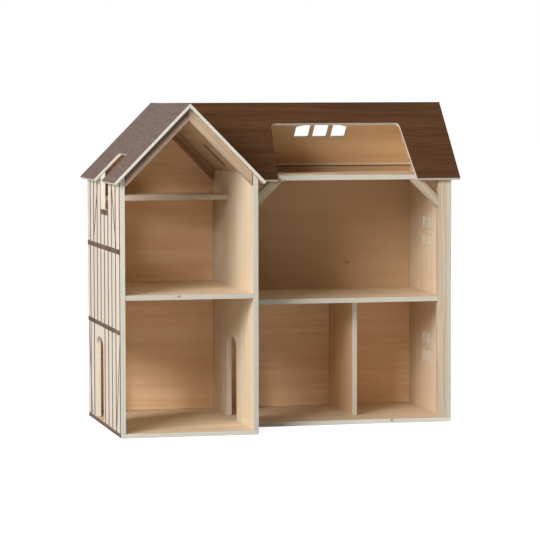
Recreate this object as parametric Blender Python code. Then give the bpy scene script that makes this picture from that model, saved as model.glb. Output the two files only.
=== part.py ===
"""Wooden dollhouse made of plywood boards, square battens and hidden dowels.

A gabled wing stands forward on the left. The main body runs to the right with
two storeys and an attic, and a wide gap in its front roof opens the attic.
Lengths are in metres. X runs right, Y runs from front to back, Z runs up.
House coordinates start at the outer face of the left wall and the wing's front.
"""

import math

import bmesh
import bpy
from mathutils import Matrix, Vector

# Plan
HOUSE_W = 0.730
HOUSE_D = 0.415
WING_W = 0.285
PORCH_Y = 0.122
GAP = 0.0003

# Board stock
BASE_T = 0.009
WALL_T = 0.010
FLOOR_T = 0.010
BACK_T = 0.006
ROOF_T = 0.006
BATTEN = 0.018

# Levels of the floors, at their top faces
WING_FLOOR_Z = 0.2894
LOFT_Z = 0.4815
MAIN_FLOOR_Z = 0.2663
ATTIC_Z = 0.5245

# Front edges of the floors and the partition
WING_FLOOR_Y = 0.001
LOFT_Y = 0.244
MAIN_FLOOR_Y = 0.1275
ATTIC_Y = 0.1243
PARTITION_Y = 0.203
PARTITION_X = 0.535

# Roof
OVERHANG = 0.014
END_OVERHANG = 0.016
RIDGE_Z = 0.6762
EAVE_Z = 0.517
BACK_EAVE_Z = 0.525
BACK_TOP_GAP = 0.0015
RAFTER_END_GAP = 0.002

# Doorways through both walls of the wing
DOOR_W = 0.096
DOOR_SPRING_Z = 0.163
DOOR_TOP_Z = 0.185
LEFT_DOOR_Y = 0.2155
RIGHT_DOOR_Y = 0.1710

# Tall window that runs up the left wall and on through the roof
DORMER_Y = (0.1435, 0.2390)
DORMER_SILL_Z = 0.455
DORMER_RUN = 0.0765
DORMER_R = 0.010

# Slit in the right slope of the wing's roof
SLIT_Y = 0.2345
SLIT_W = 0.012
SLIT_FROM_RIDGE = (0.1175, 0.1780)

# Gap in the front roof
GAP_EAVE_X = (0.3525, 0.6516)
GAP_TOP_X = (0.3625, 0.6426)
GAP_TOP_Y = 0.2240
GAP_R = 0.010

# Segmental window in the back roof, as three panes
PANE_X = ((0.4400, 0.4720), (0.4803, 0.5120), (0.5212, 0.5530))
PANE_SILL_Y = 0.3457
PANE_SIDE_H = 0.0350
PANE_CROWN_H = 0.0465
PANE_R = 0.0025

# Four-pane windows in the right wall
WINDOW_Y = (0.2405, 0.3065)
WINDOW_Z = ((0.1120, 0.1770), (0.3630, 0.4290))
WINDOW_BAR = 0.009
WINDOW_R = 0.003

# Corner braces, by their longer leg from the inner corner
BRACE_LEG = 0.0612

# Dowels
DOWEL_R = 0.0025
DOWEL_L = 0.020
DOWEL_IN_FACE = 0.006
BORE_CLEAR = 0.00015
DOWEL_SEGMENTS = 20

# Sizes of cutters that only have to reach past the wood
FAR = 0.30
HIGH = 0.80
LOW = 0.30

PLYWOOD = ((0.80, 0.68, 0.50), 0.62)
STAINED = ((0.105, 0.050, 0.026), 0.50)
BEECH = ((0.72, 0.55, 0.36), 0.60)

WING_MID_X = WING_W / 2
WING_RUN = WING_W / 2 + OVERHANG
WING_PITCH = math.atan2(RIDGE_Z - EAVE_Z, WING_RUN)
MAIN_MID_Y = (PORCH_Y + HOUSE_D) / 2
MAIN_RUN = (HOUSE_D - PORCH_Y) / 2 + OVERHANG
FRONT_PITCH = math.atan2(RIDGE_Z - EAVE_Z, MAIN_RUN)
BACK_PITCH = math.atan2(RIDGE_Z - BACK_EAVE_Z, MAIN_RUN)

AXIS_X = Vector((1, 0, 0))
AXIS_Y = Vector((0, 1, 0))
AXIS_Z = Vector((0, 0, 1))


def clear_scene():
    for obj in list(bpy.data.objects):
        bpy.data.objects.remove(obj, do_unlink=True)


def new_collection(name, hidden):
    group = bpy.data.collections.new(name)
    bpy.context.scene.collection.children.link(group)
    group.hide_render = hidden
    return group


clear_scene()
PARTS = new_collection("dollhouse", False)
CUTTERS = new_collection("cutters", True)
HOUSE = bpy.data.objects.new("house_frame", None)
HOUSE.location = (-(HOUSE_W - OVERHANG + END_OVERHANG) / 2, -HOUSE_D / 2, 0)
PARTS.objects.link(HOUSE)


def finish(obj, look):
    """Give a piece its own material and hang it on the house frame."""
    colour, roughness = look
    material = bpy.data.materials.new(obj.name)
    material.use_nodes = True
    shader = material.node_tree.nodes["Principled BSDF"]
    shader.inputs["Base Color"].default_value = (*colour, 1)
    shader.inputs["Roughness"].default_value = roughness
    shader.inputs["Metallic"].default_value = 0
    obj.data.materials.append(material)
    return obj


def place(name, mesh, look):
    """Put a mesh in the scene, as a piece with a look or as a cutter without one."""
    obj = bpy.data.objects.new(name, mesh)
    obj.parent = HOUSE
    if look is None:
        CUTTERS.objects.link(obj)
        obj.hide_render = True
        obj.display_type = "WIRE"
        return obj
    PARTS.objects.link(obj)
    return finish(obj, look)


def box(name, xs, ys, zs, look=None):
    """Rectangular board between two corners."""
    shape = bmesh.new()
    bmesh.ops.create_cube(shape, size=1)
    size = (xs[1] - xs[0], ys[1] - ys[0], zs[1] - zs[0])
    bmesh.ops.scale(shape, vec=size, verts=shape.verts)
    mesh = bpy.data.meshes.new(name)
    shape.to_mesh(mesh)
    shape.free()
    obj = place(name, mesh, look)
    obj.location = (sum(xs) / 2, sum(ys) / 2, sum(zs) / 2)
    return obj


def plate(name, outline, origin, across, up, depth, look=None):
    """Flat outline in the plane of two directions, with its thickness centred on origin."""
    curve = bpy.data.curves.new(name, "CURVE")
    curve.dimensions = "2D"
    curve.fill_mode = "BOTH"
    curve.extrude = depth / 2
    spline = curve.splines.new("POLY")
    spline.points.add(len(outline) - 1)
    for point, (u, v) in zip(spline.points, outline):
        point.co = (u, v, 0, 1)
    spline.use_cyclic_u = True
    source = bpy.data.objects.new(name + "_outline", curve)
    bpy.context.scene.collection.objects.link(source)
    graph = bpy.context.evaluated_depsgraph_get()
    mesh = bpy.data.meshes.new_from_object(source.evaluated_get(graph))
    bpy.data.objects.remove(source, do_unlink=True)
    shape = bmesh.new()
    shape.from_mesh(mesh)
    bmesh.ops.remove_doubles(shape, verts=shape.verts, dist=0.00001)
    bmesh.ops.recalc_face_normals(shape, faces=shape.faces)
    shape.to_mesh(mesh)
    shape.free()
    obj = place(name, mesh, look)
    turn = Matrix((across, up, across.cross(up))).transposed()
    obj.rotation_euler = turn.to_euler()
    obj.location = origin
    return obj


def cut(piece, cutter):
    """Take a cutter's volume out of a piece."""
    modifier = piece.modifiers.new("cut_" + cutter.name, "BOOLEAN")
    modifier.operation = "DIFFERENCE"
    modifier.solver = "EXACT"
    modifier.object = cutter


def rounded(corners, radii, steps=6):
    """Outline with each corner replaced by an arc of its own radius."""
    outline = []
    count = len(corners)
    for i, (corner, radius) in enumerate(zip(corners, radii)):
        here = Vector(corner)
        if radius == 0:
            outline.append(tuple(here))
            continue
        back = (Vector(corners[i - 1]) - here).normalized()
        ahead = (Vector(corners[(i + 1) % count]) - here).normalized()
        half = back.angle(ahead) / 2
        centre = here + (back + ahead).normalized() * radius / math.sin(half)
        start = here + back * radius / math.tan(half) - centre
        end = here + ahead * radius / math.tan(half) - centre
        sweep = start.angle_signed(end)
        for k in range(steps + 1):
            turned = start.copy()
            turned.rotate(Matrix.Rotation(-sweep * k / steps, 2))
            outline.append(tuple(centre + turned))
    return outline


def arch(low, high, bottom, spring, top, steps=20):
    """Doorway outline: straight sides under a flat elliptical head."""
    middle = (low + high) / 2
    half = (high - low) / 2
    outline = [(low, bottom), (high, bottom)]
    for k in range(steps + 1):
        angle = math.pi * k / steps
        outline.append((middle + half * math.cos(angle), spring + (top - spring) * math.sin(angle)))
    return outline


def under_z(distance, pitch, gap):
    """Height under a roof board at a distance from its ridge, less a gap across the slope."""
    return RIDGE_Z - (ROOF_T + gap) / math.cos(pitch) - distance * math.tan(pitch)


def slope_section(run, pitch):
    """Section of one roof board: plumb cut at the ridge and square cut at the eave."""
    start = GAP / 2
    top = RIDGE_Z - start * math.tan(pitch)
    eave = RIDGE_Z - run * math.tan(pitch)
    return [
        (start, top),
        (run, eave),
        (run - ROOF_T * math.sin(pitch), eave - ROOF_T * math.cos(pitch)),
        (start, top - ROOF_T / math.cos(pitch)),
    ]


def space_above(low_pitch, high_pitch, gap):
    """Outline of everything above the undersides of the two boards that meet at a ridge."""
    return [
        (-FAR, under_z(FAR, low_pitch, gap)),
        (0, min(under_z(0, low_pitch, gap), under_z(0, high_pitch, gap))),
        (FAR, under_z(FAR, high_pitch, gap)),
        (FAR, HIGH),
        (-FAR, HIGH),
    ]


def section_across_wing(name, points, ys, side=1, look=None):
    """Outline of (distance from the wing's ridge, height) carried along Y."""
    outline = [(side * u, z) for u, z in points]
    origin = (WING_MID_X, sum(ys) / 2, 0)
    return plate(name, outline, origin, AXIS_X, AXIS_Z, ys[1] - ys[0], look)


def section_across_main(name, points, xs, side=1, look=None):
    """Outline of (distance from the main ridge, height) carried along X."""
    outline = [(side * v, z) for v, z in points]
    origin = (sum(xs) / 2, MAIN_MID_Y, 0)
    return plate(name, outline, origin, AXIS_Y, AXIS_Z, xs[1] - xs[0], look)


def wall_outline(name, outline, x, look=None, depth=0.03):
    """Outline of (Y, Z) set in a wall at x."""
    return plate(name, outline, (x, 0, 0), AXIS_Y, AXIS_Z, depth, look)


# Inner faces that the floors and panels meet
WING_IN = (WALL_T + GAP, WING_W - WALL_T - GAP)
MAIN_IN = (WING_W + GAP, HOUSE_W - WALL_T - GAP)
BACK_Y = (HOUSE_D - BACK_T, HOUSE_D)
INNER_BACK_Y = BACK_Y[0] - GAP
ON_BASE_Z = BASE_T + GAP
LEFT_X = (0, WALL_T)
MIDDLE_X = (WING_W - WALL_T, WING_W)
RIGHT_X = (HOUSE_W - WALL_T, HOUSE_W)


def build_wing():
    pieces = {}
    pieces["base"] = box("wing_base", (0, WING_W), (0, HOUSE_D), (0, BASE_T), PLYWOOD)
    walls_z = (ON_BASE_Z, EAVE_Z + BATTEN)
    pieces["left"] = box("wing_left_wall", LEFT_X, (0, HOUSE_D), walls_z, PLYWOOD)
    pieces["right"] = box("wing_right_wall", MIDDLE_X, (0, HOUSE_D), walls_z, PLYWOOD)
    pieces["back"] = box("wing_back_panel", WING_IN, BACK_Y, (ON_BASE_Z, RIDGE_Z), PLYWOOD)
    floor_z = (WING_FLOOR_Z - FLOOR_T, WING_FLOOR_Z)
    pieces["floor"] = box("wing_first_floor", WING_IN, (WING_FLOOR_Y, INNER_BACK_Y), floor_z, PLYWOOD)
    loft_z = (LOFT_Z - FLOOR_T, LOFT_Z)
    pieces["loft"] = box("wing_loft_shelf", WING_IN, (LOFT_Y, INNER_BACK_Y), loft_z, PLYWOOD)

    outline = space_above(WING_PITCH, WING_PITCH, GAP)
    roof_space = section_across_wing("wing_roof_space", outline, (-FAR, HOUSE_D + FAR))
    for key in ("left", "right", "back"):
        cut(pieces[key], roof_space)

    for key, x, y in (("left", LEFT_X, LEFT_DOOR_Y), ("right", MIDDLE_X, RIGHT_DOOR_Y)):
        opening = arch(y, y + DOOR_W, 0, DOOR_SPRING_Z, DOOR_TOP_Z)
        cut(pieces[key], wall_outline("doorway_" + key, opening, sum(x) / 2))
    notch = box("dormer_notch", (-WALL_T, 2 * WALL_T), DORMER_Y, (DORMER_SILL_Z, HIGH))
    cut(pieces["left"], notch)
    build_rafters()
    return pieces


def build_rafters():
    """Two pairs of battens that stiffen the wing's roof, at the front and at the back."""
    inner = GAP / 2
    outer = WING_W / 2 - WALL_T - RAFTER_END_GAP
    drop = BATTEN / math.cos(WING_PITCH)
    points = [
        (inner, under_z(inner, WING_PITCH, GAP)),
        (outer, under_z(outer, WING_PITCH, GAP)),
        (outer, under_z(outer, WING_PITCH, GAP) - drop),
        (inner, under_z(inner, WING_PITCH, GAP) - drop),
    ]
    front = (WING_FLOOR_Y, WING_FLOOR_Y + WALL_T)
    rear = (INNER_BACK_Y - WALL_T, INNER_BACK_Y)
    for place_name, ys in (("front", front), ("back", rear)):
        section_across_wing(f"rafter_{place_name}_left", points, ys, -1, PLYWOOD)
        section_across_wing(f"rafter_{place_name}_right", points, ys, 1, PLYWOOD)


def build_wing_roof():
    section = slope_section(WING_RUN, WING_PITCH)
    ys = (-OVERHANG, HOUSE_D + OVERHANG)
    left = section_across_wing("wing_roof_left", section, ys, -1, STAINED)
    right = section_across_wing("wing_roof_right", section, ys, 1, STAINED)

    ridge = Vector((WING_MID_X, 0, RIDGE_Z))
    down_left = Vector((-math.cos(WING_PITCH), 0, -math.sin(WING_PITCH)))
    down_right = Vector((math.cos(WING_PITCH), 0, -math.sin(WING_PITCH)))
    eave = WING_RUN / math.cos(WING_PITCH)
    dormer = rounded(
        [
            (DORMER_Y[0], eave - DORMER_RUN),
            (DORMER_Y[1], eave - DORMER_RUN),
            (DORMER_Y[1], eave + ROOF_T),
            (DORMER_Y[0], eave + ROOF_T),
        ],
        (DORMER_R, DORMER_R, 0, 0),
    )
    cut(left, plate("dormer_opening", dormer, ridge, AXIS_Y, down_left, 4 * ROOF_T))

    half = SLIT_W / 2
    slit = rounded(
        [
            (SLIT_Y - half, SLIT_FROM_RIDGE[0]),
            (SLIT_Y + half, SLIT_FROM_RIDGE[0]),
            (SLIT_Y + half, SLIT_FROM_RIDGE[1]),
            (SLIT_Y - half, SLIT_FROM_RIDGE[1]),
        ],
        (half * 0.9,) * 4,
    )
    cut(right, plate("roof_slit", slit, ridge, AXIS_Y, down_right, 4 * ROOF_T))

    # The right slope's overhang stops where the main roof starts.
    main_eave_y = MAIN_MID_Y - MAIN_RUN - 2 * GAP
    trim = box("eave_trim", (WING_W, WING_W + FAR), (main_eave_y, HOUSE_D + FAR), (LOW, HIGH))
    cut(right, trim)


def build_main():
    pieces = {}
    main_y = (PORCH_Y, HOUSE_D)
    base_x = (WING_W + GAP, HOUSE_W)
    pieces["base"] = box("main_base", base_x, main_y, (0, BASE_T), PLYWOOD)
    walls_z = (ON_BASE_Z, RIDGE_Z)
    pieces["right"] = box("main_right_wall", RIGHT_X, main_y, walls_z, PLYWOOD)
    pieces["back"] = box("main_back_panel", MAIN_IN, BACK_Y, (ON_BASE_Z, ATTIC_Z + BATTEN), PLYWOOD)
    floor_z = (MAIN_FLOOR_Z - FLOOR_T, MAIN_FLOOR_Z)
    pieces["floor"] = box("main_first_floor", MAIN_IN, (MAIN_FLOOR_Y, INNER_BACK_Y), floor_z, PLYWOOD)
    attic_z = (ATTIC_Z - FLOOR_T, ATTIC_Z)
    pieces["attic"] = box("attic_floor", MAIN_IN, (ATTIC_Y, INNER_BACK_Y), attic_z, PLYWOOD)
    partition_x = (PARTITION_X, PARTITION_X + WALL_T)
    partition_z = (ON_BASE_Z, floor_z[0] - GAP)
    pieces["partition"] = box(
        "main_partition", partition_x, (PARTITION_Y, INNER_BACK_Y), partition_z, PLYWOOD
    )

    for key, gap in (("right", GAP), ("back", BACK_TOP_GAP)):
        outline = space_above(FRONT_PITCH, BACK_PITCH, gap)
        roof_space = section_across_main("main_roof_space_" + key, outline, (0, HOUSE_W + FAR))
        cut(pieces[key], roof_space)
    cut_wall_windows(pieces["right"])
    build_porch(pieces)
    return pieces


def cut_wall_windows(wall):
    """Two windows, one above the other, each left with a cross of bars."""
    half_bar = WINDOW_BAR / 2
    middle_y = sum(WINDOW_Y) / 2
    columns = ((WINDOW_Y[0], middle_y - half_bar), (middle_y + half_bar, WINDOW_Y[1]))
    for level, (low, high) in zip(("lower", "upper"), WINDOW_Z):
        middle_z = (low + high) / 2
        rows = ((low, middle_z - half_bar), (middle_z + half_bar, high))
        for i, (y0, y1) in enumerate(columns):
            for j, (z0, z1) in enumerate(rows):
                corners = [(y0, z0), (y1, z0), (y1, z1), (y0, z1)]
                outline = rounded(corners, (WINDOW_R,) * 4, 3)
                name = f"pane_{level}_{i}{j}"
                cut(wall, wall_outline(name, outline, sum(RIGHT_X) / 2))


def build_porch(pieces):
    """Posts at the two front corners, with a brace from each up to the attic floor."""
    post_y = (PORCH_Y, PORCH_Y + BATTEN)
    post_z = (ON_BASE_Z, ATTIC_Z - FLOOR_T - GAP)
    corner_z = post_z[1]
    short_leg = BRACE_LEG - BATTEN * math.sqrt(2)
    for side, corner_x, inward in (("left", MAIN_IN[0], 1), ("right", MAIN_IN[1], -1)):
        inner_x = corner_x + inward * BATTEN
        post_x = tuple(sorted((corner_x, inner_x)))
        pieces["post_" + side] = box("post_" + side, post_x, post_y, post_z, PLYWOOD)
        notch_x = tuple(sorted((corner_x - inward * GAP * 2, inner_x + inward * GAP)))
        notch_y = (PORCH_Y - BATTEN, post_y[1] + GAP)
        notch = box("post_notch_" + side, notch_x, notch_y, (LOW / 2, LOW * 1.3))
        cut(pieces["floor"], notch)
        brace = [
            (inward * (GAP + short_leg), 0),
            (inward * (GAP + BRACE_LEG), 0),
            (inward * GAP, -BRACE_LEG),
            (inward * GAP, -short_leg),
        ]
        origin = (inner_x, sum(post_y) / 2, corner_z)
        plate("brace_" + side, brace, origin, AXIS_X, AXIS_Z, BATTEN, PLYWOOD)


def build_main_roof():
    xs = (WING_MID_X + GAP, HOUSE_W + END_OVERHANG)
    front_section = slope_section(MAIN_RUN, FRONT_PITCH)
    back_section = slope_section(MAIN_RUN, BACK_PITCH)
    front = section_across_main("main_roof_front", front_section, xs, -1, STAINED)
    rear = section_across_main("main_roof_back", back_section, xs, 1, STAINED)

    # Both slopes are cut along the valley where they lie on the wing's roof.
    near = WING_W - WING_MID_X + GAP
    clearance = GAP / math.cos(WING_PITCH)
    valley = section_across_wing(
        "valley",
        [
            (-WING_MID_X, LOW),
            (-WING_MID_X, RIDGE_Z + WING_MID_X * math.tan(WING_PITCH) + clearance),
            (near, RIDGE_Z - near * math.tan(WING_PITCH) + clearance),
            (near, LOW),
        ],
        (-FAR, HOUSE_D + FAR),
    )
    cut(front, valley)
    cut(rear, valley)

    ridge = Vector((0, MAIN_MID_Y, RIDGE_Z))
    down_front = Vector((0, -math.cos(FRONT_PITCH), -math.sin(FRONT_PITCH)))
    down_back = Vector((0, math.cos(BACK_PITCH), -math.sin(BACK_PITCH)))
    eave = MAIN_RUN / math.cos(FRONT_PITCH)
    top = (MAIN_MID_Y - GAP_TOP_Y) / math.cos(FRONT_PITCH)
    opening = rounded(
        [
            (GAP_TOP_X[0], top),
            (GAP_TOP_X[1], top),
            (GAP_EAVE_X[1], eave),
            (GAP_EAVE_X[1], eave + ROOF_T),
            (GAP_EAVE_X[0], eave + ROOF_T),
            (GAP_EAVE_X[0], eave),
        ],
        (GAP_R, GAP_R, 0, 0, 0, 0),
    )
    cut(front, plate("attic_gap", opening, ridge, AXIS_X, down_front, 4 * ROOF_T))

    sill = (PANE_SILL_Y - MAIN_MID_Y) / math.cos(BACK_PITCH)
    for i, (x0, x1) in enumerate(PANE_X):
        corners = [(x0, sill), (x1, sill), (x1, sill - pane_height(x1)), (x0, sill - pane_height(x0))]
        outline = rounded(corners, (PANE_R,) * 4, 3)
        cut(rear, plate(f"roof_pane_{i}", outline, ridge, AXIS_X, down_back, 4 * ROOF_T))


def pane_height(x):
    """Height of the segmental window above its sill at x, along the slope."""
    middle = (PANE_X[0][0] + PANE_X[2][1]) / 2
    reach = (PANE_X[2][1] - PANE_X[0][0]) / 2
    return PANE_SIDE_H + (PANE_CROWN_H - PANE_SIDE_H) * (1 - ((x - middle) / reach) ** 2)


def rod(name, centre, axis, radius, length, look=None):
    """Round bar along X or Z, centred on a point."""
    shape = bmesh.new()
    bmesh.ops.create_cone(
        shape, cap_ends=True, segments=DOWEL_SEGMENTS, radius1=radius, radius2=radius, depth=length
    )
    mesh = bpy.data.meshes.new(name)
    shape.to_mesh(mesh)
    shape.free()
    obj = place(name, mesh, look)
    obj.location = centre
    if axis == "X":
        obj.rotation_euler = (0, math.pi / 2, 0)
    return obj


def dowel(name, centre, axis, joined):
    """A dowel and the bores that it sits in."""
    rod("dowel_" + name, centre, axis, DOWEL_R, DOWEL_L, BEECH)
    bore = rod("bore_" + name, centre, axis, DOWEL_R + BORE_CLEAR, DOWEL_L + 2 * GAP)
    for piece in joined:
        cut(piece, bore)


def side_dowels(name, shelf, wall, wall_face_x, inward, level_z, ys):
    """Dowels along X from a wall's face into the end of a floor."""
    x = wall_face_x + inward * (DOWEL_L / 2 - DOWEL_IN_FACE)
    for place_name, y in zip(("front", "back"), ys):
        dowel(f"{name}_{place_name}", (x, y, level_z), "X", (shelf, wall))


def upright_dowels(name, x, ys, face_z, lower_depth, joined):
    """Dowels along Z, with lower_depth of their length below a face at face_z."""
    z = face_z + DOWEL_L / 2 - lower_depth
    names = ("front", "back") if len(ys) == 2 else ("mid",)
    for place_name, y in zip(names, ys):
        dowel(f"{name}_{place_name}", (x, y, z), "Z", joined)


def build_dowels(wing, main):
    mid = FLOOR_T / 2
    for name, shelf, level, ys in (
        ("wing_floor", wing["floor"], WING_FLOOR_Z - mid, (0.060, 0.340)),
        ("loft", wing["loft"], LOFT_Z - mid, (0.270, 0.380)),
    ):
        side_dowels(name + "_left", shelf, wing["left"], LEFT_X[1], 1, level, ys)
        side_dowels(name + "_right", shelf, wing["right"], MIDDLE_X[0], -1, level, ys)
    floor_ys = (0.170, 0.360)
    floor_z = MAIN_FLOOR_Z - mid
    side_dowels("main_floor_left", main["floor"], wing["right"], MIDDLE_X[1], 1, floor_z, floor_ys)
    side_dowels("main_floor_right", main["floor"], main["right"], RIGHT_X[0], -1, floor_z, floor_ys)
    side_dowels("attic_right", main["attic"], main["right"], RIGHT_X[0], -1, ATTIC_Z - mid, floor_ys)

    wall_ys = (0.060, 0.360)
    deep = DOWEL_IN_FACE
    base_walls = (
        ("left_wall", LEFT_X, wall_ys, wing["base"], wing["left"]),
        ("middle_wall", MIDDLE_X, wall_ys, wing["base"], wing["right"]),
        ("right_wall", RIGHT_X, (0.180, 0.360), main["base"], main["right"]),
    )
    for name, xs, ys, base, wall in base_walls:
        upright_dowels(name, sum(xs) / 2, ys, BASE_T, deep, (base, wall))

    partition_x = PARTITION_X + WALL_T / 2
    partition_ys = (0.240, 0.370)
    upright_dowels("partition_foot", partition_x, partition_ys, BASE_T, deep, (main["base"], main["partition"]))
    under = MAIN_FLOOR_Z - FLOOR_T
    head = DOWEL_L - deep
    upright_dowels("partition_head", partition_x, partition_ys, under, head, (main["floor"], main["partition"]))

    post_y = PORCH_Y + BATTEN / 2
    for side, x in (("left", MAIN_IN[0] + BATTEN / 2), ("right", MAIN_IN[1] - BATTEN / 2)):
        post = main["post_" + side]
        upright_dowels(f"post_{side}_foot", x, (post_y,), BASE_T, deep, (main["base"], post))
        upright_dowels(f"post_{side}_head", x, (post_y,), ATTIC_Z - FLOOR_T, head, (main["attic"], post))


wing_pieces = build_wing()
build_wing_roof()
main_pieces = build_main()
build_main_roof()
build_dowels(wing_pieces, main_pieces)
bpy.context.view_layer.update()
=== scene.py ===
import math

import bpy
from mathutils import Matrix, Vector


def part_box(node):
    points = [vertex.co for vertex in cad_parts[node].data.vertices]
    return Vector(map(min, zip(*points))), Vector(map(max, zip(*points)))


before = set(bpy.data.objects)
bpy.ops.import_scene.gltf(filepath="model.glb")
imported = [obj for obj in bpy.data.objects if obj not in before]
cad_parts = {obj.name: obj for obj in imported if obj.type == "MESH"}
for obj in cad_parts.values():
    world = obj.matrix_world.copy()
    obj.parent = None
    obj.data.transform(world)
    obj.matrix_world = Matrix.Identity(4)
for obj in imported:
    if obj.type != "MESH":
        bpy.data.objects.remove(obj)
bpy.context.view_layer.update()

# Where the frame's origin lies in the house's own coordinates, which run from the outside of
# the left wall and the front of the wing. Materials and the camera use those coordinates.
HOUSE_X = 0.366
HOUSE_Y = 0.2075

RIGHT = Vector((1, 0, 0))
BACK = Vector((0, 1, 0))
UP = Vector((0, 0, 1))

# Light and dark of each bare wood, linear. The panel and underside woods are more orange copies
# of the bare wood, the underside one also darker, for faces that lie mostly in shade: painted
# shade.
BOARD = ((0.785, 0.645, 0.470), (0.680, 0.510, 0.330))
INNER = ((0.73, 0.635, 0.480), (0.64, 0.500, 0.335))
ATTIC = ((0.88, 0.670, 0.430), (0.78, 0.540, 0.310))
SHADED_PANEL = ((0.86, 0.610, 0.370), (0.75, 0.475, 0.255))
BATTEN = ((0.60, 0.505, 0.385), (0.42, 0.310, 0.200))
SHADED_UNDERSIDE = ((0.62, 0.460, 0.300), (0.53, 0.360, 0.210))
RAFTER = ((0.57, 0.44, 0.32), (0.40, 0.27, 0.166))
BROWN_BATTEN = ((0.44, 0.255, 0.120), (0.21, 0.102, 0.038))

# Finishes and marks, linear
EDGE_LIGHT = (0.575, 0.560, 0.495)
EDGE_DARK = (0.435, 0.405, 0.335)
STAIN_LIGHT = (0.165, 0.073, 0.029)
STAIN_DARK = (0.050, 0.019, 0.006)
PAINT = (0.088, 0.041, 0.019)
PALE = (0.65, 0.598, 0.530)
# Colour of a painted highlight
HIGHLIGHT_PALE = (0.98, 0.90, 0.76)
KNOT = (0.15, 0.085, 0.045)
# How dark the painted shade on the upper room's back is, as a share of the wood's dark
UPPER_SHADE_FACTOR = 0.55

# Noises: cells per metre along and across the grain, shift of the seed, detail, roughness
BEND = (4.0, 9.0, 0, 2.0, 0.5)
BOARD_FIGURE = (2.6, 62.0, 0, 3.0, 0.55)
BATTEN_FIGURE = (2.6, 190.0, 0, 3.0, 0.55)
FIBRE = (9.0, 420.0, 5, 4.0, 0.6)
PORES = (75.0, 1500.0, 9, 2.0, 0.5)
CLOUD = (5.0, 8.0, 3, 3.0, 0.5)
WEAR = (40.0, 40.0, 13, 4.0, 0.6)
SPECKLE = (260.0, 420.0, 0, 3.0, 0.5)
BLOTCHES = (75.0, 110.0, 17, 6.0, 0.75)
FIGURE_DISTORTION = 0.35
CELLS_INTO_BOARD = 160
BEND_REACH = 0.018
WAVER_CELLS, WAVER_SEED, WAVER_REACH = 30.0, 21, 0.0016

# Bare wood: how much each noise darkens it
FIGURE_SHARE, FIBRE_SHARE, PORE_SHARE, CLOUD_SHARE = 0.62, 0.38, 0.16, 0.22
# Stained wood: the same, with a fine speckle over it
STAIN_FIGURE, STAIN_FIBRE, STAIN_SPECKLE, STAIN_CLOUD = 0.30, 0.45, 0.25, 0.25
# Mottled stain: what is left of the streaks, and how far the blotches change the roughness
MOTTLED_LINES, MOTTLED_ROUGHNESS = 0.65, 0.30
# Paint: how far it covers the wood, and how much of that is worn off in patches
PAINT_COVER, PAINT_WORN = 0.98, 0.16
# Plywood edges: how strongly the crossed veneers, the glue, clouds and uneven layers show, and
# how far paint or a cut's own colour covers them
TURNED_SHARE, GLUE_SHARE, EDGE_CLOUD_SHARE, EDGE_WARP = 0.45, 0.20, 0.20, 0.10
EDGE_COVER = 0.92
KNOT_SHARE, EDGE_KNOT_SHARE = 0.6, 0.85
FIBRE_ROUGHNESS = EDGE_ROUGHNESS = 0.12
FIBRE_RELIEF, PORE_RELIEF, EDGE_RELIEF = 0.6, 0.4, 0.8

# A normal's lean towards the board's face: an edge below the first, the face above the second
FACE_FROM, FACE_FULL = 0.55, 0.75
INNER_FACE = -0.5

# Thickness of a veneer, relief of the grain, and sanded edges
VENEER = 0.0018
GRAIN_RELIEF = 0.00012
RELIEF_STRENGTH = 0.6
SANDED_EDGE = 0.0005
SHARP_ANGLE = math.radians(40)
WELD_REACH = 0.00001
# A dowel taller than this stands upright
DOWEL_THICKEST = 0.01

# Painted timber frame on the side walls, in metres of the house's Y and Z
STRIPE_STEP = 0.0458
STRIPE_FROM = 0.0570
STRIPE_HALF = 0.0056
STRIPE_SOFT = 0.0007
LEFT_FIRST_FROM = 0.030
LEFT_BANDS = ((0.2080, 0.2175), (0.3715, 0.3820))
LEFT_SILL = ((0.1435, 0.2415), (0.4445, 0.4550))
LEFT_OVER_DOOR = ((0.205, 0.320), (0.0, 0.2080))
LEFT_ACROSS = (-0.01, 0.42)
# Straight strokes: start, end, half width
LEFT_STROKES = (
    ((0.0065, 0.0), (0.0065, 0.60), STRIPE_HALF),
    ((0.2780, 0.508), (0.3340, 0.383), 0.0046),
    ((0.1010, 0.508), (0.0490, 0.383), 0.0046),
    ((0.0060, 0.207), (0.0510, 0.020), 0.0042),
    ((0.4040, 0.207), (0.3630, 0.009), 0.0042),
)
RIGHT_WINDOW_MIDDLE = 0.2735
RIGHT_WINDOW_Y = (0.2345, 0.3125)
RIGHT_SILLS = (0.1110, 0.3620)
RIGHT_SILL_T = 0.0085
RIGHT_REVEAL_DROP = 0.001
RIGHT_WINDOW_H = 0.0720
RIGHT_BANDS = ((0.2515, 0.2610), (0.5095, 0.5190))
RIGHT_ACROSS = (0.10, 0.42)

# Boxes round the cut faces of openings, and thin lines of painted shade and painted highlight
# on inner faces
DOORWAYS = ((0.10, 0.35), (0.01, 0.50))
TALL_WINDOW = ((0.10, 0.30), (0.40, 0.5315))
ROOF_SLIT = ((0.22, 0.25), (0.52, 0.62))
# A dark rim round the roof slit on the inner face: painted shade
SLIT_PAINTED_SHADE = ((0.2235, 0.2455), (0.5430, 0.5890), STAIN_DARK, 0.9)
# Dark lines at the wing's back corner and along its wall top: painted shade of the gaps there
CORNER_PAINTED_SHADE = ((0.4060, 0.4090), (0.509, 0.533), STAIN_DARK, 0.85)
WALL_TOP_PAINTED_SHADE = ((0.30, 0.4090), (0.5308, 0.533), STAIN_DARK, 0.6)
# Attic roof underside where it meets the back panel: a pale painted highlight, then a dark line of
# painted shade
ATTIC_PAINTED_HIGHLIGHT = ((0.4010, 0.4066), (0.0, 0.7), HIGHLIGHT_PALE, 0.9)
ATTIC_PAINTED_SHADE = ((0.4066, 0.4092), (0.0, 0.7), STAIN_DARK, 0.9)

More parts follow.
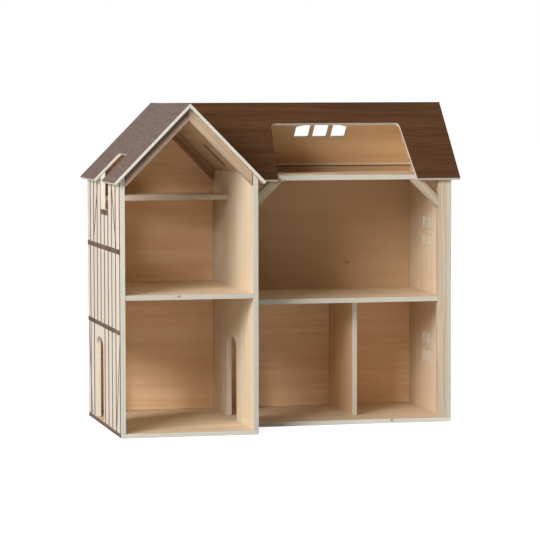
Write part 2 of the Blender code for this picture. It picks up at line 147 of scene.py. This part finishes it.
# Knots: place along the grain, place across it, radius
WING_PANEL_KNOTS = ((0.070 - HOUSE_X, -0.150, 0.0034),)
MAIN_PANEL_KNOTS = ((0.576 - HOUSE_X, -0.324, 0.0034),)
# Knots on a front edge: place along it, radius
WING_FLOOR_KNOTS = ((0.1204 - HOUSE_X, 0.0022),)
MAIN_BASE_KNOTS = ((0.600 - HOUSE_X, 0.0022),)
# Part of the edge's height at which its knots lie, and a knot's width over its length
EDGE_KNOT_HEIGHT = 0.66
KNOT_SLIMNESS = 0.55

# Painted shade on the upper room's back: a darker colour between these heights: from, to, share
UPPER_ROOM_SHADE = (0.262, 0.560, 0.74)

# Run and rise of the roof slopes, and the way each slope looks
WING_RUN, WING_RISE = 0.1565, 0.1592
MAIN_RUN, MAIN_FRONT_RISE, MAIN_BACK_RISE = 0.1605, 0.1592, 0.1512
WING_LEFT_OUT = Vector((-WING_RISE, 0, WING_RUN)).normalized()
WING_RIGHT_OUT = Vector((WING_RISE, 0, WING_RUN)).normalized()
MAIN_FRONT_OUT = Vector((0, -MAIN_FRONT_RISE, MAIN_RUN)).normalized()
MAIN_BACK_OUT = Vector((0, MAIN_BACK_RISE, MAIN_RUN)).normalized()

CAMERA_AZIMUTH = math.radians(-12.80)
CAMERA_ELEVATION = math.radians(3.748)
CAMERA_ROLL = math.radians(-0.146)
CAMERA_LENS, CAMERA_SENSOR = 182.5, 36
CAMERA_TARGET = Vector((0.3432 - HOUSE_X, 0.150 - HOUSE_Y, 0.3266))
CAMERA_DISTANCE = 5.732
CAMERA_REACH = 200

LIGHT_TARGET = Vector((0, 0, 0.3))
WARM = (1.0, 0.92, 0.82)
GLOSSY_WORLD = 0.7
FLOOR_REACH = 30
FLOOR_DROP = 0.0008
# The floor's glow for the camera: from NEAR_GLOW within NEAR to full beyond FAR
NEAR, FAR = 0.7, 1.6
NEAR_GLOW = 0.80
FLOOR_WHITE = 0.86


class Graph:
    """Short names for the shader nodes of one material."""

    def __init__(self, name):
        self.material = bpy.data.materials.new(name)
        self.material.use_nodes = True
        self.tree = self.material.node_tree
        self.shader = self.tree.nodes["Principled BSDF"]
        self.point = self.add("ShaderNodeTexCoord").outputs["Object"]
        self.normal = self.add("ShaderNodeNewGeometry").outputs["True Normal"]

    def add(self, kind, **settings):
        node = self.tree.nodes.new(kind)
        for key, value in settings.items():
            setattr(node, key, value)
        return node

    def put(self, socket, value):
        if isinstance(value, bpy.types.NodeSocket):
            self.tree.links.new(value, socket)
        elif isinstance(value, (int, float)):
            socket.default_value = value
        else:
            values = tuple(value)
            opaque = (1,) * (len(socket.default_value) - len(values))
            socket.default_value = values + opaque

    def math(self, operation, *values, clamp=False):
        node = self.add("ShaderNodeMath", operation=operation, use_clamp=clamp)
        for socket, value in zip(node.inputs, values):
            self.put(socket, value)
        return node.outputs[0]

    def times(self, first, second):
        return self.math("MULTIPLY", first, second)

    def dot(self, vector, axis):
        node = self.add("ShaderNodeVectorMath", operation="DOT_PRODUCT")
        self.put(node.inputs[0], vector)
        node.inputs[1].default_value = axis
        return node.outputs["Value"]

    def vector(self, x, y, z):
        node = self.add("ShaderNodeCombineXYZ")
        for socket, value in zip(node.inputs, (x, y, z)):
            self.put(socket, value)
        return node.outputs[0]

    def mix(self, factor, first, second, blend="MIX"):
        node = self.add("ShaderNodeMix", data_type="RGBA", blend_type=blend)
        self.put(node.inputs[0], factor)
        self.put(node.inputs[6], first)
        self.put(node.inputs[7], second)
        return node.outputs[2]

    def noise(self, vector, detail=2.0, roughness=0.5, distortion=0.0):
        node = self.add("ShaderNodeTexNoise")
        self.put(node.inputs["Vector"], vector)
        node.inputs["Scale"].default_value = 1.0
        node.inputs["Detail"].default_value = detail
        node.inputs["Roughness"].default_value = roughness
        node.inputs["Distortion"].default_value = distortion
        return node.outputs["Fac"]

    def ramp(self, value, low, high):
        """0 at low, 1 at high and smooth between; high below low turns it round."""
        node = self.add("ShaderNodeMapRange", interpolation_type="SMOOTHSTEP")
        self.put(node.inputs["Value"], value)
        node.inputs["From Min"].default_value = low
        node.inputs["From Max"].default_value = high
        return node.outputs["Result"]

    def bump(self, height):
        node = self.add("ShaderNodeBump")
        node.inputs["Distance"].default_value = GRAIN_RELIEF
        node.inputs["Strength"].default_value = RELIEF_STRENGTH
        self.put(node.inputs["Height"], height)
        self.put(self.shader.inputs["Normal"], node.outputs[0])

    def between(self, value, low, high):
        """1 where value lies between low and high."""
        above = self.math("GREATER_THAN", value, low)
        return self.times(above, self.math("LESS_THAN", value, high))

    def highest(self, masks):
        total = masks[0]
        for mask in masks[1:]:
            total = self.math("MAXIMUM", total, mask)
        return total


class Board:
    """One CAD board: its directions, its own coordinates and the noises of its wood."""

    def __init__(self, node, face, grain, solid):
        self.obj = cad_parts[node]
        self.face = Vector(face).normalized()
        grain = Vector(grain).normalized()
        depths = [vertex.co.dot(self.face) for vertex in self.obj.data.vertices]
        self.thickness = max(depths) - min(depths)
        self.seed = 1.7 * (sum(map(ord, node)) % 97)

        g = self.g = Graph("wood_" + node)
        self.y = g.math("ADD", g.dot(g.point, BACK), HOUSE_Y)
        self.z = g.dot(g.point, UP)
        self.along = g.dot(g.point, grain)
        self.across = g.dot(g.point, self.face.cross(grain))
        level = g.math("SUBTRACT", g.dot(g.point, self.face), min(depths))
        self.depth = g.math("DIVIDE", level, self.thickness)
        self.facing = g.dot(g.normal, self.face)
        self.outside = g.ramp(self.facing, FACE_FROM, FACE_FULL)

        # Slow bends in the fibres, then broad figure, fine fibres and short pores
        self.bent = g.math("MULTIPLY_ADD", self.noise(BEND), BEND_REACH, self.across)
        self.side = g.times(self.depth, self.thickness * CELLS_INTO_BOARD)
        figure = BATTEN_FIGURE if solid else BOARD_FIGURE
        self.figure = self.noise(figure, fibres=True, distortion=FIGURE_DISTORTION)
        self.fibre = self.noise(FIBRE, fibres=True)
        self.pores = self.noise(PORES, fibres=True)
        self.cloud = self.noise(CLOUD)
        self.wear = self.noise(WEAR)

    def noise(self, recipe, fibres=False, distortion=0.0):
        """Noise stretched along the grain. Fibres bend and change with depth as well."""
        g = self.g
        cells_along, cells_across, shift, detail, roughness = recipe
        x = g.times(self.along, cells_along)
        y = g.times(self.bent if fibres else self.across, cells_across)
        seed = self.seed + shift
        z = g.math("ADD", self.side, seed) if fibres else seed
        return g.noise(g.vector(x, y, z), detail, roughness, distortion)

    def box(self, ys, zs):
        """1 inside a box of the house's Y and Z, right through the board."""
        return self.g.times(self.g.between(self.y, *ys), self.g.between(self.z, *zs))


def stroke_mask(g, y, z, start, end, half):
    """1 on a straight painted stroke between two (y, z) points."""
    (y0, z0), (y1, z1) = start, end
    slope = (y1 - y0) / (z1 - z0)
    middle = g.math("MULTIPLY_ADD", z, slope, y0 - z0 * slope)
    distance = g.math("ABSOLUTE", g.math("SUBTRACT", y, middle))
    across = g.ramp(distance, half + STRIPE_SOFT, half - STRIPE_SOFT)
    return g.times(across, g.between(z, min(z0, z1), max(z0, z1)))


def stripe_mask(board, first, waver):
    """1 on upright stripes a fixed step apart over the whole wall."""
    g = board.g
    offset = g.math("ADD", g.math("SUBTRACT", board.y, first), waver)
    distance = g.math("PINGPONG", offset, STRIPE_STEP / 2)
    return g.ramp(distance, STRIPE_HALF + STRIPE_SOFT, STRIPE_HALF - STRIPE_SOFT)


def without(g, mask, hole):
    """The mask with a hole cut in it."""
    return g.times(mask, g.math("SUBTRACT", 1.0, hole))


def left_wall_paint(board, waver):
    """Painted timber frame of the left wall: stripes, strokes, bands and a window sill."""
    g = board.g
    stripes = stripe_mask(board, STRIPE_FROM, waver)
    stripes = g.times(stripes, g.math("GREATER_THAN", board.y, LEFT_FIRST_FROM))
    stripes = without(g, stripes, board.box(*LEFT_OVER_DOOR))
    wavy = g.math("ADD", board.y, waver)
    marks = [stripes]
    marks += [stroke_mask(g, wavy, board.z, *stroke) for stroke in LEFT_STROKES]
    marks += [board.box(*LEFT_SILL)]
    marks += [board.box(LEFT_ACROSS, band) for band in LEFT_BANDS]
    return g.highest(marks)


def right_wall_paint(board, waver):
    """Stripes, bands and window sills on the gable wall at the other end."""
    g = board.g
    stripes = stripe_mask(board, RIGHT_WINDOW_MIDDLE - STRIPE_STEP / 2, waver)
    marks = []
    for sill in RIGHT_SILLS:
        plain = board.box(RIGHT_WINDOW_Y, (sill - RIGHT_SILL_T, sill + RIGHT_WINDOW_H))
        stripes = without(g, stripes, plain)
        marks.append(board.box(RIGHT_WINDOW_Y, (sill - RIGHT_SILL_T, sill)))
    marks += [board.box(RIGHT_ACROSS, band) for band in RIGHT_BANDS]
    return g.highest([stripes] + marks)


def knot_mask(g, along, across, spots):
    """Small dark ovals with a soft rim, at (along, across, radius)."""
    masks = []
    for spot_along, spot_across, radius in spots:
        u = g.times(g.math("SUBTRACT", along, spot_along), KNOT_SLIMNESS / radius)
        v = g.times(g.math("SUBTRACT", across, spot_across), 1 / radius)
        reach = g.math("SQRT", g.math("ADD", g.times(u, u), g.times(v, v)))
        masks.append(g.ramp(reach, 1.3, 0.3))
    return g.highest(masks)


def bare_wood(board, light, dark):
    """Figure, fibres, pores and slow clouds between the light and the dark of a wood."""
    g = board.g
    figure = g.times(g.ramp(board.figure, 0.32, 0.68), FIGURE_SHARE)
    fibre = g.times(g.ramp(board.fibre, 0.30, 0.70), FIBRE_SHARE)
    colour = g.mix(g.math("ADD", figure, fibre), light, dark)
    colour = g.mix(g.times(g.ramp(board.pores, 0.62, 0.78), PORE_SHARE), colour, dark)
    return g.mix(g.times(g.ramp(board.cloud, 0.35, 0.70), CLOUD_SHARE), colour, dark)


def upper_painted_shade(board, colour, dark, low, high, share):
    """Painted shade on the inner face, between two heights."""
    g = board.g
    indoors = g.math("LESS_THAN", board.facing, 0.0)
    place = g.times(g.between(board.z, low, high), indoors)
    shade = tuple(channel * UPPER_SHADE_FACTOR for channel in dark)
    return g.mix(g.times(place, share), colour, shade)


def painted_light_lines(board, colour, marks):
    """Thin lines of painted shade and painted highlight on the inner face, at (ys, zs, shade,
    share).
    """
    g = board.g
    for ys, zs, shade, share in marks:
        inner = g.times(g.math("LESS_THAN", board.facing, INNER_FACE), share)
        colour = g.mix(g.times(board.box(ys, zs), inner), colour, shade)
    return colour


def stained_face(board, colour, roughness, strength, mottled):
    """Dark brown stain on the outer face, denser along the fibres.

    Gives the colour and the roughness. A mottled stain also has blotches, which hide the fibres.
    """
    g = board.g
    figure = g.times(g.ramp(board.figure, 0.30, 0.70), STAIN_FIGURE)
    fibre = g.times(g.ramp(board.fibre, 0.34, 0.66), STAIN_FIBRE)
    speckle = g.ramp(board.noise(SPECKLE), 0.35, 0.65)
    lines = g.math("MULTIPLY_ADD", speckle, STAIN_SPECKLE, g.math("ADD", figure, fibre))
    if mottled:
        spots = g.math("SUBTRACT", g.ramp(board.noise(BLOTCHES), 0.36, 0.64), 0.5)
        lines = g.math("MULTIPLY_ADD", g.math("SUBTRACT", lines, 0.5), MOTTLED_LINES, 0.5)
        lines = g.math("MULTIPLY_ADD", spots, mottled, lines, clamp=True)
        roughness = g.math("MULTIPLY_ADD", spots, mottled * MOTTLED_ROUGHNESS, roughness)
    light, dark = (tuple(c * strength for c in shade) for shade in (STAIN_LIGHT, STAIN_DARK))
    tint = g.mix(lines, light, dark)
    tint = g.mix(g.times(g.ramp(board.cloud, 0.35, 0.75), STAIN_CLOUD), tint, STAIN_DARK)
    return g.mix(board.outside, colour, tint), roughness


def painted_face(board, colour, paint):
    """Brown paint on the outer face, a little worn and with edges that waver."""
    g = board.g
    height = g.times(board.z, WAVER_CELLS)
    waver = g.noise(g.vector(height, 0.0, board.seed + WAVER_SEED))
    waver = g.math("MULTIPLY_ADD", waver, WAVER_REACH, -WAVER_REACH / 2)
    worn = g.ramp(board.wear, 0.35, 0.75)
    patchy = g.math("MULTIPLY_ADD", worn, -PAINT_WORN, PAINT_COVER)
    cover = g.times(paint(board, waver), g.times(board.outside, patchy))
    return g.mix(cover, colour, PAINT)


def veneer_edges(board, dark, edges, edge_knots, brown_edge, cuts, cut_shade):
    """Thin veneers with their fibres crossed, and a darker line of glue between them.

    Gives the colour, and a mask of the veneers whose fibres run into the board.
    """
    g = board.g
    layers = max(3, round(board.thickness / VENEER))
    warp = g.times(g.math("SUBTRACT", board.wear, 0.5), EDGE_WARP)
    layer = g.times(g.math("ADD", board.depth, warp), layers)
    turned = g.ramp(g.math("PINGPONG", layer, 1.0), 0.30, 0.70)
    glue = g.ramp(g.math("PINGPONG", g.math("ADD", layer, 0.5), 0.5), 0.10, 0.02)
    cloud = g.times(g.ramp(board.cloud, 0.30, 0.80), EDGE_CLOUD_SHARE)
    edge = g.mix(g.times(turned, TURNED_SHARE), EDGE_LIGHT, EDGE_DARK)
    edge = g.mix(g.times(glue, GLUE_SHARE), edge, dark)
    edge = g.mix(cloud, edge, EDGE_DARK)
    edge = g.mix(1.0, edge, edges, blend="MULTIPLY")
    if edge_knots:
        height = EDGE_KNOT_HEIGHT * board.thickness
        spots = [(place, height, radius) for place, radius in edge_knots]
        level = g.times(board.depth, board.thickness)
        ovals = knot_mask(g, board.along, level, spots)
        edge = g.mix(g.times(ovals, EDGE_KNOT_SHARE), edge, KNOT)
    if brown_edge:
        leftward = g.ramp(g.dot(g.normal, RIGHT), -FACE_FROM, -FACE_FULL)
        edge = g.mix(g.times(leftward, EDGE_COVER), edge, PAINT)
    for cut in cuts:
        edge = g.mix(g.times(board.box(*cut), EDGE_COVER), edge, cut_shade)
    return edge, turned


def wood(node, face, grain, shades=BOARD, *, solid=False, tone=1.0, rough=0.55, shine=0.5,
         pale=0.0, paint=None, stain=0.0, mottled=0.0, knots=(), marks=(), upper_shade=None,
         overhang_shadow=0.0, edges=(1, 1, 1), edge_knots=(), brown_edge=False, cuts=(),
         cut_shade=STAIN_DARK):
    """Give a CAD board its wood.

    face is the way the board's good side looks and grain the way its fibres run. Plywood shows
    its layers on every side edge; a solid batten has the same fibres all round. edges tints the
    side edges, brown_edge paints the left one, and cuts are boxes round openings, whose cut faces
    take cut_shade. pale whitens the outer face, stain (its strength) or paint covers it, and
    knots change the bare wood. Thin lines of painted shade and highlight on the inner face,
    painted shade between two heights and the painted shadow of a roof's overhang change it too.
    """
    board = Board(node, face, grain, solid)
    g = board.g
    light, dark = (tuple(channel * tone for channel in shade) for shade in shades)
    colour = bare_wood(board, light, dark)
    if upper_shade:
        colour = upper_painted_shade(board, colour, dark, *upper_shade)
    if knots:
        spots = knot_mask(g, board.along, board.across, knots)
        colour = g.mix(g.times(spots, KNOT_SHARE), colour, KNOT)
    if overhang_shadow:
        # Painted shadow of the roof's overhang on the side of a batten, darkest next to the roof
        overhang_shade = g.times(g.ramp(board.depth, 0.30, 0.62), overhang_shadow)
        colour = g.mix(overhang_shade, colour, STAIN_DARK)
    colour = painted_light_lines(board, colour, marks)
    if pale:
        colour = g.mix(g.times(board.outside, pale), colour, PALE)

    roughness = g.math("MULTIPLY_ADD", board.fibre, FIBRE_ROUGHNESS, rough)
    relief = g.math("ADD", g.times(board.fibre, FIBRE_RELIEF), g.times(board.pores, PORE_RELIEF))
    if stain:
        colour, roughness = stained_face(board, colour, roughness, stain, mottled)
    if paint:
        colour = painted_face(board, colour, paint)
    if not solid:
        edge, turned = veneer_edges(
            board, dark, edges, edge_knots, brown_edge, cuts, cut_shade
        )
        on_edge = g.ramp(g.math("ABSOLUTE", board.facing), FACE_FULL, FACE_FROM)
        colour = g.mix(on_edge, colour, edge)
        roughness = g.math("MULTIPLY_ADD", on_edge, EDGE_ROUGHNESS, roughness)
        relief = g.math("ADD", relief, g.times(g.times(on_edge, turned), EDGE_RELIEF))

    g.put(g.shader.inputs["Base Color"], colour)
    g.put(g.shader.inputs["Roughness"], roughness)
    g.shader.inputs["Specular IOR Level"].default_value = shine
    g.bump(relief)
    set_material(board.obj, g.material)


def set_material(obj, material):
    obj.data.materials.clear()
    obj.data.materials.append(material)


def soften(node):
    """Sanded arris along every sharp edge. The faces come in unjoined, so they are welded."""
    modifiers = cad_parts[node].modifiers
    weld = modifiers.new("joined_faces", "WELD")
    weld.merge_threshold = WELD_REACH
    bevel = modifiers.new("sanded_edges", "BEVEL")
    bevel.width = SANDED_EDGE
    bevel.segments = 2
    bevel.limit_method = "ANGLE"
    bevel.angle_limit = SHARP_ANGLE


def build_walls():
    wood("wing_left_wall", -RIGHT, UP, paint=left_wall_paint, pale=0.75, shine=0.08,
         edges=(0.96, 0.97, 0.99), cuts=(DOORWAYS, TALL_WINDOW), cut_shade=(0.70, 0.64, 0.53))
    # Dark lines at the back corner and along the top of this wall are painted shade
    wood("wing_right_wall", RIGHT, UP, INNER, edges=(0.86, 0.85, 0.86), cuts=(DOORWAYS,),
         cut_shade=(0.66, 0.55, 0.42), marks=(CORNER_PAINTED_SHADE, WALL_TOP_PAINTED_SHADE))
    windows = [
        (RIGHT_WINDOW_Y, (sill - RIGHT_REVEAL_DROP, sill + RIGHT_WINDOW_H)) for sill in RIGHT_SILLS
    ]
    wood("main_right_wall", RIGHT, UP, paint=right_wall_paint, pale=0.75,
         edges=(1.0, 0.98, 0.89), cuts=windows, cut_shade=(0.65, 0.55, 0.42))
    wood("main_partition", RIGHT, UP, SHADED_PANEL, tone=0.94, edges=(1.14, 1.11, 1.07))
    wood("wing_back_panel", BACK, RIGHT, SHADED_PANEL, tone=1.09, pale=0.35, knots=WING_PANEL_KNOTS)
    # The upper room's back is darkened as painted shade
    wood("main_back_panel", BACK, RIGHT, SHADED_PANEL, tone=1.06, pale=0.35, knots=MAIN_PANEL_KNOTS,
         upper_shade=UPPER_ROOM_SHADE)


def build_floors():
    wood("wing_first_floor", UP, RIGHT, edges=(0.86, 0.84, 0.84), edge_knots=WING_FLOOR_KNOTS)
    wood("wing_loft_shelf", UP, RIGHT, edges=(0.83, 0.73, 0.64))
    wood("main_first_floor", UP, RIGHT, edges=(0.98, 0.96, 0.92))
    wood("attic_floor", UP, RIGHT, edges=(0.98, 0.96, 0.92))
    wood("wing_base", UP, RIGHT, brown_edge=True)
    wood("main_base", UP, RIGHT, edges=(1.22, 1.22, 1.25), edge_knots=MAIN_BASE_KNOTS)


def build_roofs():
    wood("wing_roof_left", WING_LEFT_OUT, BACK, rough=0.42, stain=0.85, mottled=0.5)
    # The slit's cut faces keep the dark stain colour and a dark rim lies round it: painted shade
    # in the slit
    wood("wing_roof_right", WING_RIGHT_OUT, BACK, SHADED_UNDERSIDE, rough=0.42, stain=1.0,
         mottled=0.5, cuts=(ROOF_SLIT,), marks=(SLIT_PAINTED_SHADE,))
    wood("main_roof_front", MAIN_FRONT_OUT, RIGHT, SHADED_PANEL, rough=0.5, shine=0.04, stain=0.88)
    # A pale painted highlight and a dark line of painted shade run where the slope meets the back
    # panel
    wood("main_roof_back", MAIN_BACK_OUT, RIGHT, ATTIC, tone=1.06, rough=0.5, shine=0.2,
         # Its side edges are brightened as painted light, so the roof's edges and window reveals
         # look lit
         stain=0.85, edges=(1.5, 1.45, 1.35), marks=(ATTIC_PAINTED_HIGHLIGHT, ATTIC_PAINTED_SHADE))


def build_battens():
    for node in ("post_left", "post_right"):
        wood(node, -BACK, UP, BATTEN, solid=True, tone=1.02)
    wood("brace_left", -BACK, (1, 0, 1), BATTEN, solid=True, tone=0.92)
    wood("brace_right", -BACK, (-1, 0, 1), BATTEN, solid=True, tone=0.85)
    # The front left rafter takes the painted overhang shadow, and both left rafters are a little
    # darker as painted shade
    for end, shades, tone, overhang_shadow in (("front", RAFTER, 0.72, 0.8),
                                            ("back", BROWN_BATTEN, 1.15, 0.0)):
        wood(f"rafter_{end}_left", WING_LEFT_OUT, (WING_RUN, 0, WING_RISE), shades,
             solid=True, tone=tone - 0.06, overhang_shadow=overhang_shadow)
        wood(f"rafter_{end}_right", WING_RIGHT_OUT, (-WING_RUN, 0, WING_RISE), shades,
             solid=True, tone=tone)
    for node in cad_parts:
        if node.startswith("dowel"):
            low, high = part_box(node)
            upright = high[2] - low[2] > DOWEL_THICKEST
            wood(node, BACK, UP if upright else RIGHT, BATTEN, solid=True)


def build_camera():
    back = Vector((
        math.sin(CAMERA_AZIMUTH) * math.cos(CAMERA_ELEVATION),
        -math.cos(CAMERA_AZIMUTH) * math.cos(CAMERA_ELEVATION),
        math.sin(CAMERA_ELEVATION),
    ))
    across = (-back).cross(UP).normalized()
    upward = across.cross(-back)
    right = across * math.cos(CAMERA_ROLL) + upward * math.sin(CAMERA_ROLL)
    top = upward * math.cos(CAMERA_ROLL) - across * math.sin(CAMERA_ROLL)
    data = bpy.data.cameras.new("camera")
    data.lens = CAMERA_LENS
    data.sensor_width = CAMERA_SENSOR
    data.clip_end = CAMERA_REACH
    camera = bpy.data.objects.new("camera", data)
    pose = Matrix((right, top, back)).transposed().to_4x4()
    pose.translation = CAMERA_TARGET + back * CAMERA_DISTANCE
    camera.matrix_world = pose
    bpy.context.scene.collection.objects.link(camera)
    bpy.context.scene.camera = camera


def softbox(name, azimuth, elevation, distance, size, power, colour=(1, 1, 1)):
    """Studio light aimed at the middle of the house. Azimuth 0 is in front of it."""
    data = bpy.data.lights.new(name, "AREA")
    data.shape = "RECTANGLE"
    data.size, data.size_y = size
    data.energy = power
    data.color = colour
    lamp = bpy.data.objects.new(name, data)
    a = math.radians(azimuth)
    e = math.radians(elevation)
    away = Vector((math.sin(a) * math.cos(e), -math.cos(a) * math.cos(e), math.sin(e)))
    lamp.location = LIGHT_TARGET + away * distance
    lamp.rotation_euler = away.to_track_quat("Z", "Y").to_euler()
    bpy.context.scene.collection.objects.link(lamp)


def build_world():
    """White to the camera, dimmer in reflections, and no light of its own."""
    world = bpy.data.worlds.new("studio")
    bpy.context.scene.world = world
    world.use_nodes = True
    tree = world.node_tree
    background = tree.nodes["Background"]
    background.inputs["Color"].default_value = (1, 1, 1, 1)
    path = tree.nodes.new("ShaderNodeLightPath")
    shine = tree.nodes.new("ShaderNodeMath")
    shine.operation = "MULTIPLY"
    shine.inputs[1].default_value = GLOSSY_WORLD
    bright = tree.nodes.new("ShaderNodeMath")
    bright.operation = "MAXIMUM"
    tree.links.new(path.outputs["Is Glossy Ray"], shine.inputs[0])
    tree.links.new(path.outputs["Is Camera Ray"], bright.inputs[0])
    tree.links.new(shine.outputs[0], bright.inputs[1])
    tree.links.new(bright.outputs[0], background.inputs["Strength"])


def build_floor():
    """Pale floor that fades to white away from the house."""
    mesh = bpy.data.meshes.new("studio_floor")
    r = FLOOR_REACH
    mesh.from_pydata([(-r, -r, 0), (r, -r, 0), (r, r, 0), (-r, r, 0)], [], [(0, 1, 2, 3)])
    floor = bpy.data.objects.new("studio_floor", mesh)
    floor.location = (0, 0, -FLOOR_DROP)
    bpy.context.scene.collection.objects.link(floor)
    g = Graph("studio_floor")
    length = g.add("ShaderNodeVectorMath", operation="LENGTH")
    g.put(length.inputs[0], g.point)
    far = g.ramp(length.outputs["Value"], NEAR, FAR)
    glow = g.math("MULTIPLY_ADD", far, 1.0 - NEAR_GLOW, NEAR_GLOW)
    seen = g.add("ShaderNodeLightPath").outputs["Is Camera Ray"]
    g.put(g.shader.inputs["Emission Strength"], g.times(glow, seen))
    g.shader.inputs["Emission Color"].default_value = (1, 1, 1, 1)
    g.shader.inputs["Base Color"].default_value = (FLOOR_WHITE, FLOOR_WHITE, FLOOR_WHITE, 1)
    g.shader.inputs["Roughness"].default_value = 0.9
    g.shader.inputs["Specular IOR Level"].default_value = 0.1
    set_material(floor, g.material)


def build_studio():
    build_world()
    build_floor()
    softbox("key_light", azimuth=-48, elevation=23, distance=5.0, size=(2.7, 1.9), power=300)
    softbox("fill_light", azimuth=-8, elevation=45, distance=4.0, size=(2.0, 2.0), power=20,
            colour=WARM)
    softbox("back_light", azimuth=140, elevation=40, distance=4.0, size=(2.5, 2.5), power=130)


build_walls()
build_floors()
build_roofs()
build_battens()
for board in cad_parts:
    if not board.startswith("dowel"):
        soften(board)
build_camera()
build_studio()
bpy.context.scene.view_settings.view_transform = "Standard"
